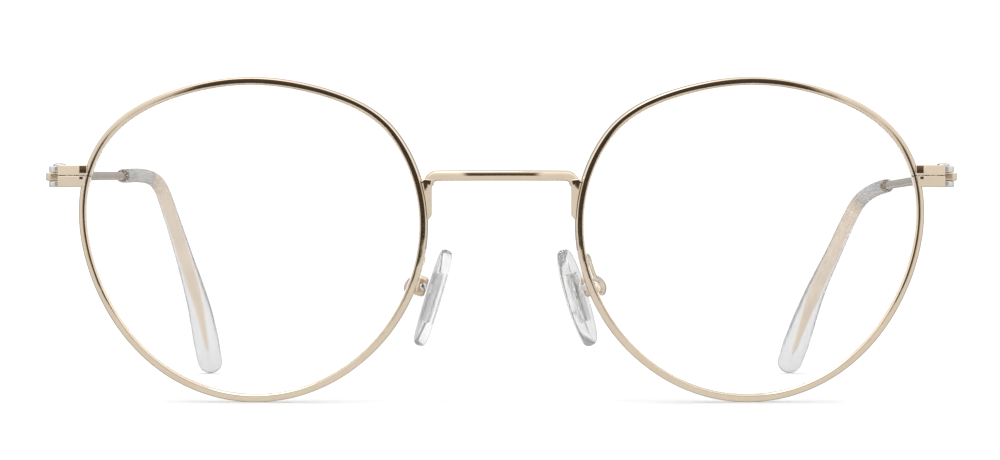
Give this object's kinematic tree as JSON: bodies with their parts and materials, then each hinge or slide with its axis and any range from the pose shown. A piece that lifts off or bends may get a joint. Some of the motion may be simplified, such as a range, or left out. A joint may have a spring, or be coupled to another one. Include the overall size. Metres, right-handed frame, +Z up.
{
  "type": "eyeglasses",
  "caption": "Thin round full-rim metal eyeglasses with clear lenses, plain bar bridge, rocking clear nose pads, folding wire temples and milky temple tips.",
  "frame": {"origin": "on the floor, under the middle of the bounding box: the middle of the bridge in X, half-way between the front of the bridge and the ends of the temple tips in Y", "axes": "+Z up; the front faces -Y; the open temples run towards +Y; +X is the viewer's right when looking at the front"},
  "size_m": [0.1342, 0.1396, 0.0475],
  "materials": {
    "gold_metal": "pale champagne-gold plating, polished",
    "hinge_metal": "nickel silver, satin",
    "screw_steel": "polished",
    "demo_lens": "clear, polished",
    "clear_pad": "clear soft plastic, faintly cloudy",
    "pad_insert": "clear hard plastic",
    "milky_tip": "milky translucent plastic, polished"
  },
  "bodies": {
    "front": {"bridge": "gold_metal", "rim_left": "gold_metal", "lens_left": "demo_lens", "lug_upper_left": "gold_metal", "lug_lower_left": "gold_metal", "knuckle_upper_left": "hinge_metal", "knuckle_lower_left": "hinge_metal", "closing_screw_left": "screw_steel", "hinge_screw_left": "screw_steel", "pad_arm_left": "gold_metal", "pad_box_left": "gold_metal", "pad_screw_left": "screw_steel", "rim_right": "gold_metal", "lens_right": "demo_lens", "lug_upper_right": "gold_metal", "lug_lower_right": "gold_metal", "knuckle_upper_right": "hinge_metal", "knuckle_lower_right": "hinge_metal", "closing_screw_right": "screw_steel", "hinge_screw_right": "screw_steel", "pad_arm_right": "gold_metal", "pad_box_right": "gold_metal", "pad_screw_right": "screw_steel"},
    "temple_arm_left": {"temple_left": "gold_metal", "temple_tip_left": "milky_tip"},
    "pad_left": {"nose_pad_left": "clear_pad", "pad_insert_left": "pad_insert"},
    "temple_arm_right": {"temple_right": "gold_metal", "temple_tip_right": "milky_tip"},
    "pad_right": {"nose_pad_right": "clear_pad", "pad_insert_right": "pad_insert"}
  },
  "joints": [
    {"name": "temple_left_hinge", "type": "hinge", "parent": "front", "child": "temple_arm_left", "pos_m": [-0.06515, -0.05975, 0.03306], "axis": [0, 0, -1], "range_deg": [0, 77]},
    {"name": "temple_right_hinge", "type": "hinge", "parent": "front", "child": "temple_arm_right", "pos_m": [0.06515, -0.05975, 0.03306], "axis": [0, 0, 1], "range_deg": [0, 84]},
    {"name": "pad_left_rock", "type": "hinge", "parent": "front", "child": "pad_left", "pos_m": [-0.01173, -0.05602, 0.01687], "axis": [-0.1277, 0.9911, 0.0385], "range_deg": [-12, 12]},
    {"name": "pad_right_rock", "type": "hinge", "parent": "front", "child": "pad_right", "pos_m": [0.0127, -0.05633, 0.01685], "axis": [0.2766, 0.9573, 0.0835], "range_deg": [-12, 12]}
  ]
}
